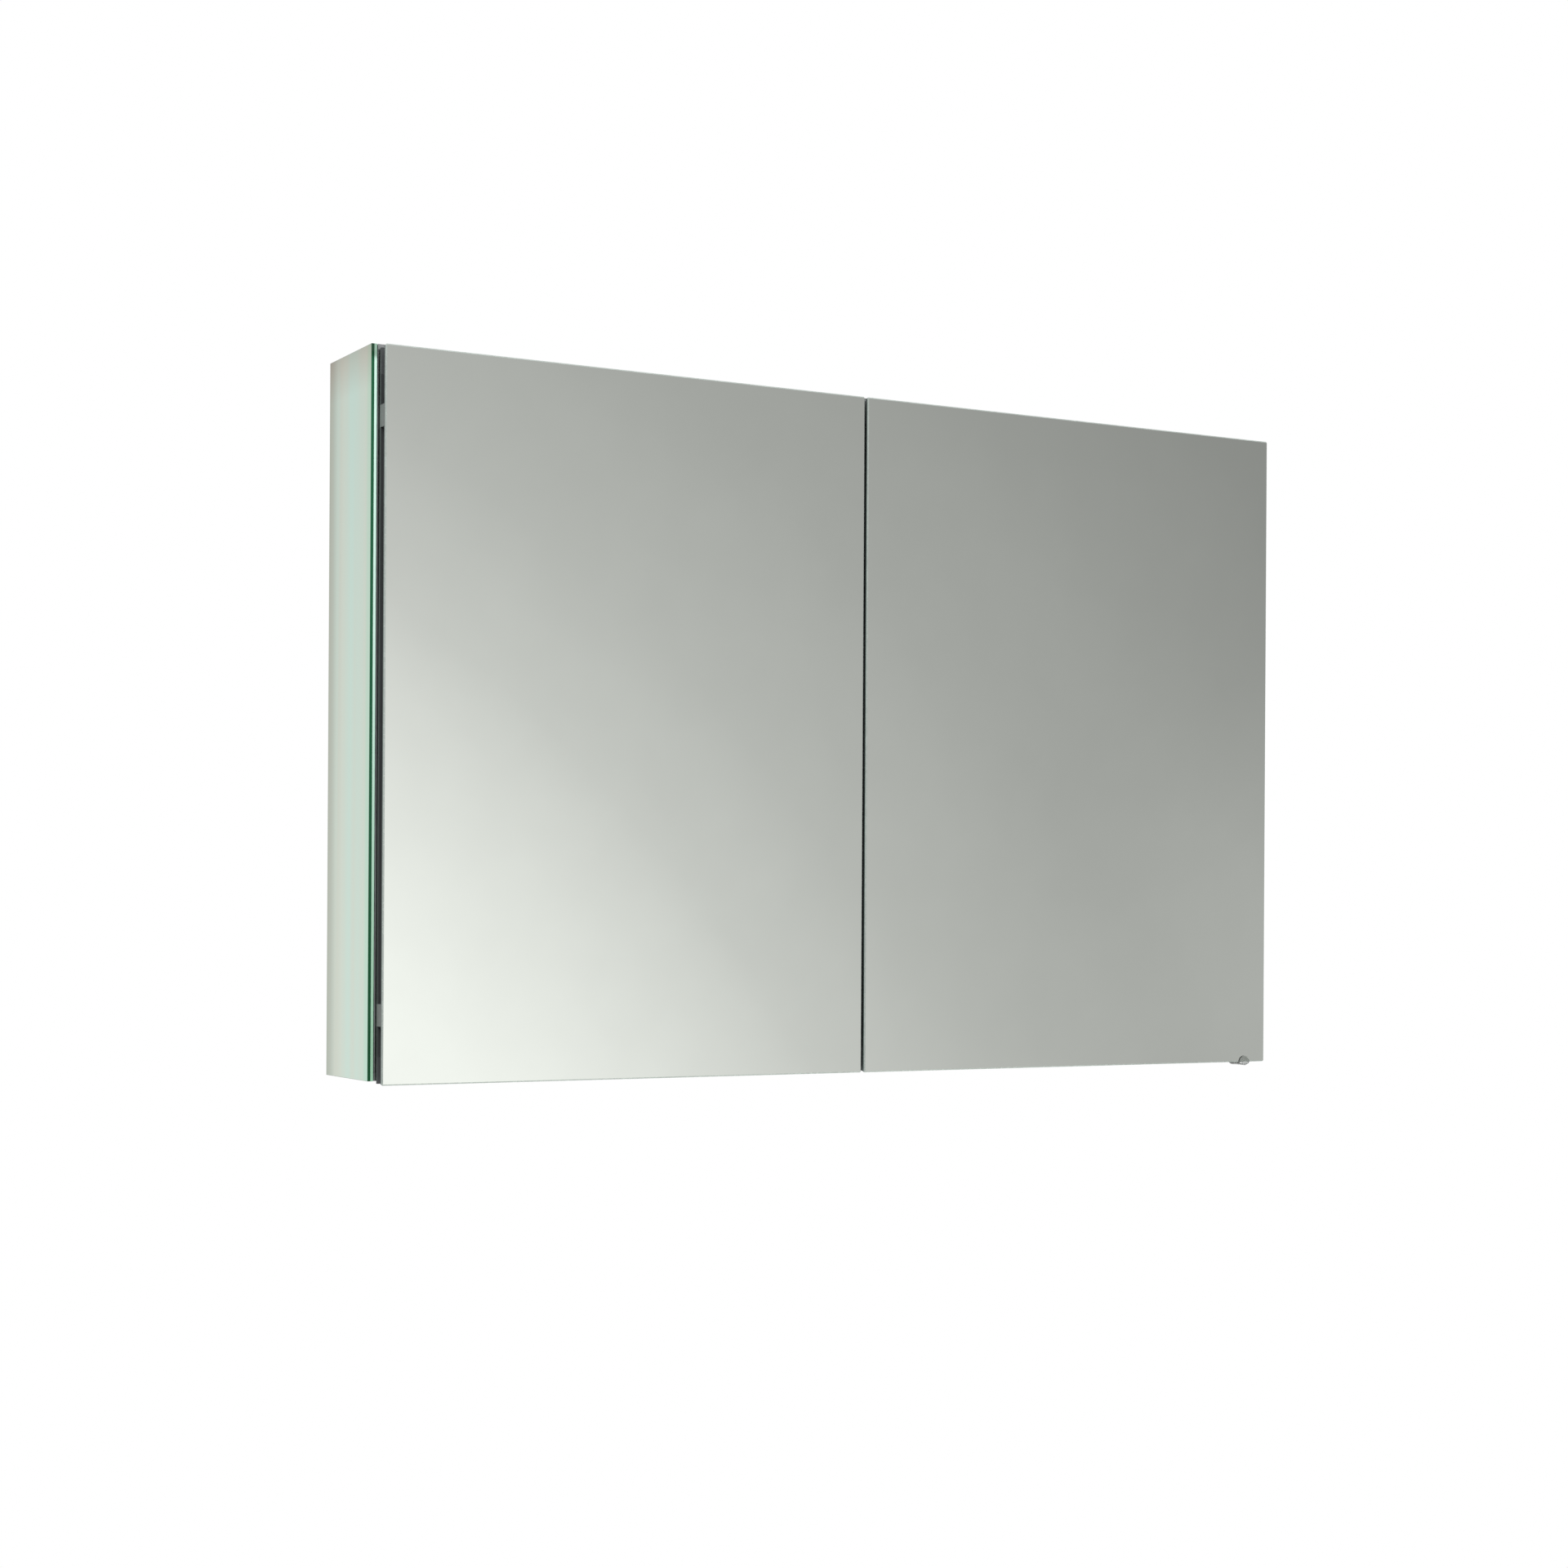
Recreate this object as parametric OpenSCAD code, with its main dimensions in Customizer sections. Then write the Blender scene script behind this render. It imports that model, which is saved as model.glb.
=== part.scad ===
// Two-door mirrored wall cabinet in aluminium, for a bathroom.
// X runs right as seen from the front, Y runs back into the wall, Z is up.
// The origin is on the wall plane, in the middle of the cabinet's width and height.

/* [Cabinet] */
// Width over the two side mirrors
cabinet_w = 1003; // [700:1:1200]
// Height from the doors' bottom edge to the top of the case
cabinet_h = 660; // [500:1:800]
// Depth from the wall to the front of the doors
cabinet_d = 127; // [115:1:160]
// How far the doors hang below the case, as a finger grip
door_drop = 3; // [1:0.5:12]
// How far the case stands above the doors
case_rise = 3; // [0:0.5:6]

/* [Case] */
// Thickness of the hollow aluminium panels
panel_t = 12; // [10:0.5:16]
// Wall of the hollow panels
skin = 1.5; // [1:0.1:2]
// Depth of the space behind the back for the mounting rails
rail_space = 11; // [9:0.5:14]
// Thickness of the steel back sheet
sheet_t = 1; // [0.8:0.1:2]
// Thickness of the mirror inside the case
inner_mirror_t = 4; // [3:0.5:5]
// Thickness of the side mirrors
side_mirror_t = 5.5; // [4:0.5:6]
// Thickness of the tape behind the side mirrors
tape_t = 0.5; // [0.5:0.1:1.5]
// Height of a mounting rail
rail_h = 40; // [32:1:60]

/* [Doors] */
// Thickness of a door
door_t = 17; // [17:0.5:18]
// Gap between the doors and the case
door_gap = 3; // [3:0.1:4]
// Gap between the two doors
seam = 3; // [2:0.5:5]
// Thickness of a door's front mirror
front_mirror_t = 4; // [3:0.5:4.5]
// Width of the hinge stile
hinge_stile_w = 33; // [33:1:45]
// Width of the other frame members
rail_w = 24; // [24:1:32]
// Distance from a door's end to the middle of its hinge
hinge_inset = 62; // [50:1:120]

/* [Inside] */
// Thickness of the glass shelves
shelf_t = 6; // [5:0.5:8]
// Depth of the shelves
shelf_d = 82; // [60:1:86]
// Pitch of the shelf-pin holes
pin_pitch = 32; // [20:1:50]
// Number of shelf-pin holes in a column
pin_count = 13; // [5:2:15]
// Pin-hole steps from the middle to each shelf
shelf_step = 3; // [2:1:5]

/* [Wall mount] */
// Distance between the wall screws along the width
mount_w = 812.8; // [400:0.1:900]
// Distance between the wall screws along the height
mount_h = 560; // [400:1:570]
// Radius of the wall-screw holes
mount_r = 3; // [2.5:0.1:4]

/* [Hidden] */
$fn = 48;
cut = 1;
fit = 0.1;
run = 0.05;

// case
side_x = cabinet_w / 2 - side_mirror_t - tape_t;
inner_x = side_x - panel_t;
top_z = cabinet_h / 2;
bottom_z = -cabinet_h / 2 + door_drop;
case_h = top_z - bottom_z;
case_front = -(cabinet_d - door_t - door_gap);
case_d = -case_front;
ceiling_z = top_z - panel_t;
floor_z = bottom_z + panel_t;
inside_h = ceiling_z - floor_z;
sheet_y = -rail_space - sheet_t;
mirror_y = sheet_y - inner_mirror_t;
end_block = 16;
web_t = 2;
port_w = 10;
screw_front = 9;
screw_back = 10;
screw_ys = [case_front + screw_front, case_front / 2, -screw_back];
screw_r = 1.6;
screw_head_r = 3.1;
screw_head_t = 1.4;
screw_len = 26;

// mounting rails
rail_wall = 2;
rail_zs = [-mount_h / 2, mount_h / 2];
rail_block = 24;
bush_r = 7;
bush_flange_r = 10;
bush_flange_t = 1.2;
rivet_r = 2.4;
rivet_xs = [-340, -200, -70, 70, 200, 340];

// shelves and their pins
pin_r = 2.5;
pin_out = 8;
pin_in = 8;
pin_flange_r = 4.5;
pin_flange_t = 1.2;
pin_front = 22;
pin_back = 20;
pin_ys = [case_front + pin_front, mirror_y - pin_back];
shelf_clear = 2.5;
shelf_gap = 2;
shelf_back = mirror_y - shelf_gap;
tape_w = 16;
tape_inset = 30;
tape_edge = 6;

// doors: u runs in from a door's outer edge, v back from its front, w up from its bottom
door_w = side_x - seam / 2;
door_z = -cabinet_h / 2;
door_h = cabinet_h - case_rise;
edge_inset = 1;
frame_t = door_t - front_mirror_t;
groove_d = 3;
groove_wall = 2.5;
groove_h = frame_t - 2 * groove_wall;
frame_wall = 2;
chamber_h = frame_t - 2 * frame_wall;
rebate_w = 5;
back_mirror_t = 4;
rebate_t = back_mirror_t + 0.2;
corner_h = edge_inset + rail_w;
tongue_l = 18;
hinge_ws = [hinge_inset, door_h - hinge_inset];

// hinges, in the same u, v, w as the doors
pivot = [6, 10];
pivot_pin_r = 1.5;
eye_r = 3;
box_u = [1, 27];
box_front = 5;
box_h = 20;
box_wall = 1.5;
flange_u = [3, 29];
flange_h = 38;
flange_t = 1.2;
finger_t = 2.4;
finger_h = 15;
finger_path = [pivot, [14.9, 8.9], [17.4, 11.4], [17.4, 22.7]];
arm_back = 76;
arm_top_u = 27;
arm_web_t = 2;
arm_flange_t = 1.5;
plate_t = 3;
plate_w = 16;
plate_end = 6;
plate_v = [38, 76];
plate_setback = 37;
plate_pitch = 32;
boss_v = [45, 72];
boss_u = 22;
boss_w = 11;
adjust_vs = [52, 66];
adjust_r = 1.9;
adjust_head_r = 3.4;
adjust_head_t = 1.6;
plate_screw_l = 12;
adjust_screw_l = 9;
side_screw_w = 14.5;
flange_screw_u = 20;
flange_screw_w = 14.5;
flange_head_r = 2.8;
flange_head_t = 0.8;
side_head_r = 2.6;
side_head_t = 1.2;
bumper_r = 4;
bumper_t = 2.6;
bumper_x = 20;
clip_w = 13;
clip_u = 27;
clip_t = 1;
clip_foot = 3.5;
clip_lip = clip_w / 2;
clip_round_r = (clip_w * clip_w / 4 + clip_foot * clip_foot) / (2 * clip_foot);

// ---- helpers ----

// A box from its low corner to its high corner.
module block(low, high) {
  translate(low) cube(high - low);
}

// Mirrors its children to the right-hand side when side is 1.
module on_side(side) {
  if (side > 0) mirror([1, 0, 0]) children();
  else children();
}

// Places children given in u, v, w at the left (side -1) or right (side 1) door.
module at_door(side) {
  on_side(side) translate([-side_x, -cabinet_d, door_z]) children();
}

// A cylinder from a point along X, Y or Z.
module rod_x(p, r, len) {
  translate(p) rotate([0, 90, 0]) cylinder(r = r, h = len);
}
module rod_y(p, r, len) {
  translate(p) rotate([-90, 0, 0]) cylinder(r = r, h = len);
}
module rod_z(p, r, len) {
  translate(p) cylinder(r = r, h = len);
}

// ---- case ----

// Height of a shelf's pins: an odd count puts the middle hole at z = 0.
function pin_z(step) = step * pin_pitch;

// A horizontal hollow panel with plugged ends, screwed down on the sides.
module level_panel(z_low, outer_z, inward) {
  chamber_d = (case_d - 2 * skin - 2 * web_t) / 3;
  difference() {
    block([-side_x, case_front, z_low], [side_x, 0, z_low + panel_t]);
    for (i = [0:2])
      translate([-side_x + end_block, case_front + skin + i * (chamber_d + web_t), z_low + skin])
        cube([2 * (side_x - end_block), chamber_d, panel_t - 2 * skin]);
    for (x = [-1, 1], y = screw_ys) {
      rod_z([x * (inner_x + panel_t / 2), y, z_low - cut], screw_r + fit, panel_t + 2 * cut);
      translate([x * (inner_x + panel_t / 2), y, outer_z])
        mirror([0, 0, inward ? 1 : 0])
          translate([0, 0, -cut]) cylinder(r = screw_head_r + fit, h = screw_head_t + fit + cut);
    }
  }
}

module top_panel() {
  color("silver") level_panel(ceiling_z, top_z, true);
}

module bottom_panel() {
  color("silver") level_panel(bottom_z, bottom_z, false);
}

// A hollow side panel with screw ports in its webs and two columns of shelf-pin holes.
module side_panel(side) {
  chamber_low = floor_z + end_block;
  chamber_high = ceiling_z - end_block;
  port_hi = [for (y = screw_ys) y + port_w / 2];
  color("silver") on_side(side)
    difference() {
      block([-side_x, case_front, floor_z], [-inner_x, 0, ceiling_z]);
      for (i = [0:1])
        block([-side_x + skin, port_hi[i], chamber_low],
              [-inner_x - skin, port_hi[i + 1] - port_w, chamber_high]);
      for (y = screw_ys) {
        rod_z([-side_x + panel_t / 2, y, floor_z - cut], screw_r + run, end_block + cut);
        rod_z([-side_x + panel_t / 2, y, ceiling_z - end_block], screw_r + run, end_block + cut);
      }
      for (y = pin_ys, i = [0:pin_count - 1])
        rod_x([-inner_x - pin_in, y, pin_z(i - (pin_count - 1) / 2)], pin_r + run, pin_in + cut);
      for (w = hinge_ws, s = [-1, 1])
        rod_x([-inner_x - panel_t + skin, case_front + plate_setback, door_z + w + s * plate_pitch / 2],
              adjust_r + run, panel_t);
      for (z = rail_zs)
        rod_x([-side_x - cut, -rail_space / 2, z], screw_r + fit, panel_t + 2 * cut);
      for (z = rail_zs)
        rod_x([-side_x - cut, -rail_space / 2, z], screw_head_r + fit, screw_head_t + fit + cut);
    }
}

module back_sheet() {
  color("gainsboro")
    difference() {
      block([-inner_x + fit, sheet_y, floor_z + fit], [inner_x - fit, -rail_space, ceiling_z - fit]);
      for (x = [-1, 1], z = rail_zs)
        rod_y([x * mount_w / 2, sheet_y - cut, z], bush_r + fit, sheet_t + 2 * cut);
      for (x = rivet_xs, z = rail_zs)
        rod_y([x, sheet_y - cut, z], rivet_r + run, sheet_t + 2 * cut);
    }
}

module inner_mirror() {
  color("lightcyan")
    difference() {
      block([-inner_x + fit, mirror_y, floor_z + fit], [inner_x - fit, sheet_y, ceiling_z - fit]);
      for (x = [-1, 1], z = rail_zs)
        rod_y([x * mount_w / 2, mirror_y - cut, z], bush_r + fit, inner_mirror_t + 2 * cut);
    }
}

// A hollow rail with solid ends, drilled for the wall screws.
module mount_rail(z) {
  color("darkgray")
    difference() {
      block([-inner_x + fit, -rail_space, z - rail_h / 2], [inner_x - fit, 0, z + rail_h / 2]);
      block([-inner_x + rail_block, -rail_space + rail_wall, z - rail_h / 2 + rail_wall],
            [inner_x - rail_block, -rail_wall, z + rail_h / 2 - rail_wall]);
      for (x = [-1, 1])
        rod_y([x * mount_w / 2, -rail_space - cut, z], mount_r, rail_space + 2 * cut);
      for (x = rivet_xs)
        rod_y([x, -rail_space - cut, z], rivet_r + run, rail_wall + 2 * cut);
      rod_x([-inner_x - cut, -rail_space / 2, z], screw_r + run, rail_block);
      rod_x([inner_x - rail_block + cut, -rail_space / 2, z], screw_r + run, rail_block);
    }
}

module side_mirror(side) {
  color("lightcyan") on_side(side)
    block([-cabinet_w / 2, case_front, bottom_z], [-side_x - tape_t, 0, top_z]);
}

// Three upright strips of foam tape between a side mirror and its panel.
module mirror_tape(side) {
  step = (case_d - 2 * tape_edge - tape_w) / 2;
  color("dimgray") on_side(side)
    for (i = [0:2])
      translate([-side_x - tape_t, case_front + tape_edge + i * step, bottom_z + tape_inset])
        cube([tape_t, tape_w, case_h - 2 * tape_inset]);
}

module shelf(step) {
  color("paleturquoise")
    translate([-inner_x + shelf_clear, shelf_back - shelf_d, pin_z(step) + pin_r])
      cube([2 * (inner_x - shelf_clear), shelf_d, shelf_t]);
}

// One shelf's four pins, each with a stop flange on the panel.
module shelf_pins(step) {
  color("gainsboro")
    for (side = [-1, 1])
      on_side(side)
        for (y = pin_ys) {
          rod_x([-inner_x - pin_in + fit, y, pin_z(step)], pin_r, pin_in + pin_out - fit);
          intersection() {
            rod_x([-inner_x, y, pin_z(step)], pin_flange_r, pin_flange_t);
            block([-inner_x - cut, y - pin_flange_r, pin_z(step) - pin_flange_r],
                  [-inner_x + pin_flange_t + cut, y + pin_flange_r, pin_z(step) + pin_r]);
          }
        }
}

// A screw with a flat head, pointing along +Z, its head's top at z = 0.
module case_screw(len) {
  cylinder(r = screw_head_r, h = screw_head_t);
  cylinder(r = screw_r, h = len);
}

module case_screws() {
  mid_x = inner_x + panel_t / 2;
  color("lightgray") {
    for (x = [-mid_x, mid_x], y = screw_ys) {
      translate([x, y, bottom_z]) case_screw(screw_len);
      translate([x, y, top_z]) mirror([0, 0, 1]) case_screw(screw_len);
    }
    for (side = [-1, 1], z = rail_zs)
      on_side(side)
        translate([-side_x, -rail_space / 2, z]) rotate([0, 90, 0]) case_screw(screw_len);
  }
}

module back_rivets() {
  color("lightgray")
    for (x = rivet_xs, z = rail_zs)
      rod_y([x, sheet_y, z], rivet_r, sheet_t + rail_wall);
}

// Bushes that line the wall-screw holes through the mirror.
module mount_bushes() {
  front_y = mirror_y - bush_flange_t;
  bush_l = -rail_space - front_y;
  color("whitesmoke")
    for (x = [-mount_w / 2, mount_w / 2], z = rail_zs)
      difference() {
        union() {
          rod_y([x, front_y, z], bush_flange_r, bush_flange_t);
          rod_y([x, front_y, z], bush_r, bush_l);
        }
        rod_y([x, front_y - cut, z], mount_r, bush_l + 2 * cut);
      }
}

module door_bumpers() {
  color("ghostwhite")
    for (x = [-1, 1], z = [floor_z - panel_t / 2, ceiling_z + panel_t / 2 - case_rise])
      rod_y([x * bumper_x, case_front - bumper_t, z], bumper_r, bumper_t);
}

// ---- hinges on the case ----

module hinge_plate(side, w) {
  wall_u = panel_t;
  screw_v = door_t + door_gap + plate_setback;
  base_h = plate_pitch + 2 * plate_end;
  color("gainsboro") at_door(side) translate([0, 0, w])
    difference() {
      union() {
        block([wall_u, plate_v[0], -finger_h / 2], [wall_u + plate_t, plate_v[1], finger_h / 2]);
        block([wall_u, screw_v - plate_w / 2, -base_h / 2],
              [wall_u + plate_t, screw_v + plate_w / 2, base_h / 2]);
        block([wall_u, boss_v[0], -boss_w / 2], [boss_u, boss_v[1], boss_w / 2]);
      }
      for (s = [-1, 1])
        rod_x([wall_u - cut, screw_v, s * plate_pitch / 2], adjust_r + run, plate_t + 2 * cut);
      for (v = adjust_vs)
        rod_x([wall_u + plate_t, v, 0], adjust_r + run, boss_u - wall_u);
    }
}

// A straight strip between two points in plan, with round ends.
module strip(a, b, t) {
  d = b - a;
  translate(a) rotate(atan2(d[1], d[0])) translate([0, -t / 2]) square([norm(d), t]);
  translate(a) circle(d = t);
  translate(b) circle(d = t);
}

// The curved arm: an eye on the pin inside the door, a bent finger, and a channel on the plate.
module hinge_arm(side, w) {
  wall_u = panel_t + plate_t;
  nose_v = finger_path[3][1] - finger_t / 2;
  color("lightsteelblue") at_door(side) translate([0, 0, w])
    difference() {
      union() {
        translate([0, 0, -finger_h / 2])
          linear_extrude(finger_h)
            union() {
              translate(pivot) circle(r = eye_r);
              for (i = [0:2]) strip(finger_path[i], finger_path[i + 1], finger_t);
              translate([finger_path[3][0], nose_v]) square([arm_top_u - finger_path[3][0], finger_t]);
              translate([arm_top_u - arm_web_t, nose_v]) square([arm_web_t, arm_back - nose_v]);
            }
        for (s = [-1, 1])
          translate([wall_u, plate_v[0], s > 0 ? finger_h / 2 - arm_flange_t : -finger_h / 2])
            cube([arm_top_u - wall_u, arm_back - plate_v[0], arm_flange_t]);
      }
      translate([pivot[0], pivot[1], -finger_h / 2 - cut])
        cylinder(r = pivot_pin_r + run, h = finger_h + 2 * cut);
      for (v = adjust_vs)
        rod_x([arm_top_u - arm_web_t - cut, v, 0], adjust_r + run, arm_web_t + 2 * cut);
    }
}

// A pan-head screw along X in the hinge hardware, its head's underside at u.
module hinge_screw_x(u, v, w, len) {
  rod_x([u - len, v, w], adjust_r, len);
  rod_x([u, v, w], adjust_head_r, adjust_head_t);
}

module hinge_plate_screws() {
  screw_v = door_t + door_gap + plate_setback;
  color("lightgray")
    for (side = [-1, 1], w = hinge_ws, s = [-1, 1])
      at_door(side) hinge_screw_x(panel_t + plate_t, screw_v, w + s * plate_pitch / 2, plate_screw_l);
}

module hinge_adjust_screws() {
  color("lightgray")
    for (side = [-1, 1], w = hinge_ws, v = adjust_vs)
      at_door(side) hinge_screw_x(arm_top_u, v, w, adjust_screw_l);
}

// ---- doors ----

// Section of a frame member: s runs in from the door's edge, v back from its front.
module frame_section(width) {
  chamber_s = edge_inset + groove_d + frame_wall;
  inner_s = edge_inset + width;
  difference() {
    translate([edge_inset, front_mirror_t]) square([width, frame_t]);
    translate([0, front_mirror_t + groove_wall]) square([edge_inset + groove_d, groove_h]);
    translate([chamber_s, front_mirror_t + frame_wall])
      square([inner_s - rebate_w - frame_wall - chamber_s, chamber_h]);
    translate([inner_s - rebate_w, door_t - rebate_t]) square([rebate_w + cut, rebate_t + cut]);
  }
}

module door_front_mirror(side) {
  color("lightcyan") at_door(side)
    cube([door_w, front_mirror_t, door_h]);
}

module door_back_mirror(side) {
  low_u = edge_inset + hinge_stile_w - rebate_w + fit;
  edge_w = edge_inset + rail_w - rebate_w + fit;
  color("lightcyan") at_door(side)
    block([low_u, door_t - back_mirror_t, edge_w],
          [door_w - edge_w, door_t, door_h - edge_w]);
}

// The room in the hinge stile for the two hinge boxes and their screws.
module hinge_pockets() {
  half_h = box_h / 2 + fit;
  hole_l = frame_wall + 2 * cut;
  for (w = hinge_ws) {
    block([0, box_front - fit, w - half_h], [box_u[1] + fit, door_t + cut, w + half_h]);
    for (s = [-1, 1]) {
      rod_y([flange_screw_u, door_t - frame_wall - cut, w + s * flange_screw_w], screw_r + run, hole_l);
      rod_x([edge_inset + groove_d - cut, front_mirror_t + frame_t / 2, w + s * side_screw_w],
            screw_r + run, hole_l);
    }
  }
}

module door_hinge_stile(side) {
  color("dimgray") at_door(side)
    difference() {
      translate([0, 0, corner_h]) linear_extrude(door_h - 2 * corner_h) frame_section(hinge_stile_w);
      hinge_pockets();
    }
}

module door_lock_stile(side) {
  color("dimgray") at_door(side)
    translate([door_w, 0, corner_h]) mirror([1, 0, 0])
      linear_extrude(door_h - 2 * corner_h) frame_section(rail_w);
}

// A frame member along u between the corner blocks.
module level_member() {
  start_u = edge_inset + hinge_stile_w;
  end_u = door_w - edge_inset - rail_w;
  translate([start_u, 0, 0])
    rotate([90, 0, 90])
      linear_extrude(end_u - start_u)
        mirror([1, -1]) frame_section(rail_w);
}

module door_top_rail(side) {
  color("dimgray") at_door(side)
    translate([0, 0, door_h]) mirror([0, 0, 1]) level_member();
}

module door_bottom_rail(side) {
  color("dimgray") at_door(side) level_member();
}

// One corner block: a solid corner with the groove, the rebate and two tongues.
module corner_block(width) {
  low = edge_inset;
  chamber_s = edge_inset + groove_d + frame_wall;
  front_v = front_mirror_t + frame_wall + fit;
  groove_v = front_mirror_t + groove_wall;
  difference() {
    union() {
      block([low, front_mirror_t, low], [low + width, door_t, corner_h]);
      block([chamber_s + fit, front_v, corner_h - cut],
            [low + width - rebate_w - frame_wall - fit, front_v + chamber_h - 2 * fit, corner_h + tongue_l]);
      block([low + width - cut, front_v, chamber_s + fit],
            [low + width + tongue_l, front_v + chamber_h - 2 * fit,
             low + rail_w - rebate_w - frame_wall - fit]);
    }
    block([0, groove_v, 0], [low + groove_d, groove_v + groove_h, corner_h + cut]);
    block([0, groove_v, 0], [low + width + cut, groove_v + groove_h, low + groove_d]);
    block([low + width - rebate_w, door_t - rebate_t, low + rail_w - rebate_w],
          [low + width + cut, door_t + cut, corner_h + cut]);
  }
}

module door_corner_blocks(side) {
  color("gray") at_door(side) {
    corner_block(hinge_stile_w);
    translate([0, 0, door_h]) mirror([0, 0, 1]) corner_block(hinge_stile_w);
    translate([door_w, 0, 0]) mirror([1, 0, 0]) corner_block(rail_w);
    translate([door_w, 0, door_h]) mirror([1, 0, 0]) mirror([0, 0, 1]) corner_block(rail_w);
  }
}

// ---- hinges on the doors ----

// The die-cast box let into the stile, open at the back for the arm's finger.
module hinge_box(side, w) {
  color("silver") at_door(side) translate([0, 0, w])
    difference() {
      union() {
        block([box_u[0], box_front, -box_h / 2], [box_u[1], door_t, box_h / 2]);
        block([flange_u[0], door_t, -flange_h / 2], [flange_u[1], door_t + flange_t, flange_h / 2]);
      }
      block([box_u[0] + box_wall, box_front + box_wall, -box_h / 2 + box_wall],
            [box_u[1] - box_wall, door_t + flange_t + cut, box_h / 2 - box_wall]);
      translate([pivot[0], pivot[1], -box_h / 2 - cut])
        cylinder(r = pivot_pin_r, h = box_h + 2 * cut);
      for (s = [-1, 1])
        rod_y([flange_screw_u, door_t - cut, s * flange_screw_w], screw_r + run, flange_t + 2 * cut);
    }
}

module hinge_pins(side) {
  color("lightgray") at_door(side)
    for (w = hinge_ws)
      translate([pivot[0], pivot[1], w - box_h / 2]) cylinder(r = pivot_pin_r, h = box_h);
}

module hinge_box_screws(side) {
  head_u = edge_inset + groove_d - side_head_t;
  mid_v = front_mirror_t + frame_t / 2;
  color("dimgray") at_door(side)
    for (w = hinge_ws, s = [-1, 1]) {
      rod_y([flange_screw_u, door_t - frame_wall, w + s * flange_screw_w], screw_r, frame_wall + flange_t);
      rod_y([flange_screw_u, door_t + flange_t, w + s * flange_screw_w], flange_head_r, flange_head_t);
      rod_x([head_u, mid_v, w + s * side_screw_w], side_head_r, side_head_t);
      rod_x([head_u, mid_v, w + s * side_screw_w], screw_r, frame_wall + side_head_t);
    }
}

// A clear clip over the right door's bottom edge, near its outer corner.
module door_edge_clip() {
  low_y = -clip_t;
  high_y = door_t + clip_t;
  color("ghostwhite") at_door(1)
    translate([clip_u, 0, 0])
      difference() {
        union() {
          intersection() {
            block([-clip_w / 2, low_y, -clip_foot], [clip_w / 2, high_y, 0]);
            rod_y([0, low_y, clip_round_r - clip_foot], clip_round_r, high_y - low_y);
          }
          intersection() {
            block([-clip_lip, low_y, 0], [clip_lip, high_y, clip_lip]);
            rod_y([0, low_y, 0], clip_lip, high_y - low_y);
          }
        }
        block([-clip_w / 2 - cut, 0, 0], [clip_w / 2 + cut, door_t, clip_lip + cut]);
      }
}

// ---- drawing ----

top_panel();
bottom_panel();
side_panel(-1);  // left_side_panel
side_panel(1);  // right_side_panel
back_sheet();
inner_mirror();
mount_rail(rail_zs[1]);  // upper_mount_rail
mount_rail(rail_zs[0]);  // lower_mount_rail
side_mirror(-1);  // left_side_mirror
side_mirror(1);  // right_side_mirror
mirror_tape(-1);  // left_mirror_tape
mirror_tape(1);  // right_mirror_tape
shelf(shelf_step);  // upper_shelf
shelf(-shelf_step);  // lower_shelf
shelf_pins(shelf_step);  // upper_shelf_pins
shelf_pins(-shelf_step);  // lower_shelf_pins
case_screws();
back_rivets();
mount_bushes();
door_bumpers();
hinge_plate(-1, hinge_ws[1]);  // left_upper_hinge_plate
hinge_plate(-1, hinge_ws[0]);  // left_lower_hinge_plate
hinge_plate(1, hinge_ws[1]);  // right_upper_hinge_plate
hinge_plate(1, hinge_ws[0]);  // right_lower_hinge_plate
hinge_arm(-1, hinge_ws[1]);  // left_upper_hinge_arm
hinge_arm(-1, hinge_ws[0]);  // left_lower_hinge_arm
hinge_arm(1, hinge_ws[1]);  // right_upper_hinge_arm
hinge_arm(1, hinge_ws[0]);  // right_lower_hinge_arm
hinge_plate_screws();
hinge_adjust_screws();
door_front_mirror(-1);  // left_door_front_mirror
door_back_mirror(-1);  // left_door_back_mirror
door_hinge_stile(-1);  // left_door_hinge_stile
door_lock_stile(-1);  // left_door_lock_stile
door_top_rail(-1);  // left_door_top_rail
door_bottom_rail(-1);  // left_door_bottom_rail
door_corner_blocks(-1);  // left_door_corner_blocks
hinge_box(-1, hinge_ws[1]);  // left_upper_hinge_box
hinge_box(-1, hinge_ws[0]);  // left_lower_hinge_box
hinge_pins(-1);  // left_hinge_pins
hinge_box_screws(-1);  // left_hinge_box_screws
door_front_mirror(1);  // right_door_front_mirror
door_back_mirror(1);  // right_door_back_mirror
door_hinge_stile(1);  // right_door_hinge_stile
door_lock_stile(1);  // right_door_lock_stile
door_top_rail(1);  // right_door_top_rail
door_bottom_rail(1);  // right_door_bottom_rail
door_corner_blocks(1);  // right_door_corner_blocks
hinge_box(1, hinge_ws[1]);  // right_upper_hinge_box
hinge_box(1, hinge_ws[0]);  // right_lower_hinge_box
hinge_pins(1);  // right_hinge_pins
hinge_box_screws(1);  // right_hinge_box_screws
door_edge_clip();
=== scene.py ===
"""Looks of a two-door mirrored wall cabinet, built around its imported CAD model.

Lengths inside the functions are in millimetres, and each finished piece is scaled to metres.
X runs right as seen from the front, Y back into the wall and Z up.
"""
import math

import bmesh
import bpy
from bpy.props import FloatProperty, FloatVectorProperty, PointerProperty
from mathutils import Matrix, Vector


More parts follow.
